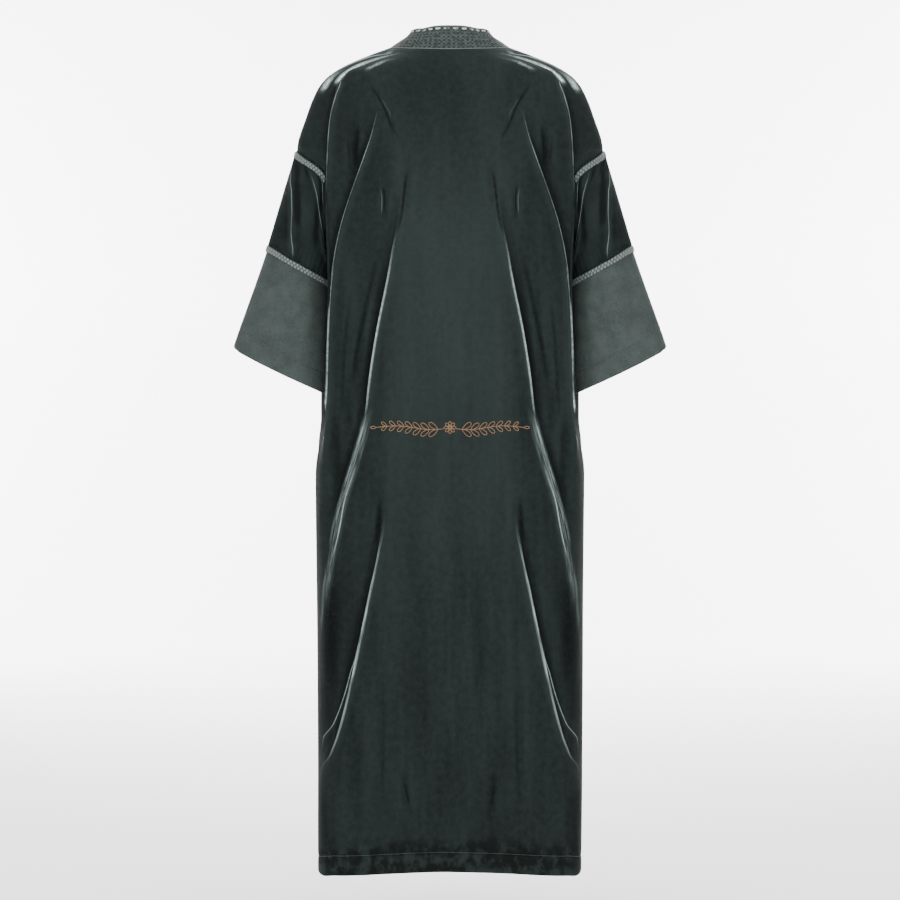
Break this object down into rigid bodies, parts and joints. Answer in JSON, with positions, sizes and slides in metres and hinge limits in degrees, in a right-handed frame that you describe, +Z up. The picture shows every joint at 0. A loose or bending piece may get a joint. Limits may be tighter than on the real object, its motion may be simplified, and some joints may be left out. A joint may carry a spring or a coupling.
{
  "type": "abaya",
  "caption": "Open-front velvet abaya with wide three-quarter sleeves, paler flared cuffs, braided sleeve seams and a woven neck band, hollow as when worn.",
  "frame": {"origin": "between the two shoulder seams at the base of the neck, where the wearer's shoulders carry the garment", "axes": "+Z up along the wearer's back, -Y the front where the garment opens, +X the wearer's left"},
  "size_m": [0.712, 0.2787, 1.3857],
  "materials": {
    "velvet": "matte short pile with a soft sheen on the folds",
    "crepe": "matte fine crepe",
    "braid": "satin gimp braid with a beaded edge",
    "band": "woven band with a corded edge"
  },
  "bodies": {
    "root": {"back": "velvet", "front_left": "velvet", "front_right": "velvet", "sleeve_left": "velvet", "sleeve_right": "velvet", "cuff_left": "crepe", "cuff_right": "crepe", "armhole_braid_left": "braid", "armhole_braid_right": "braid", "cuff_braid_left": "braid", "cuff_braid_right": "braid", "neck_band": "band", "front_band_left": "band", "front_band_right": "band"}
  },
  "joints": []
}
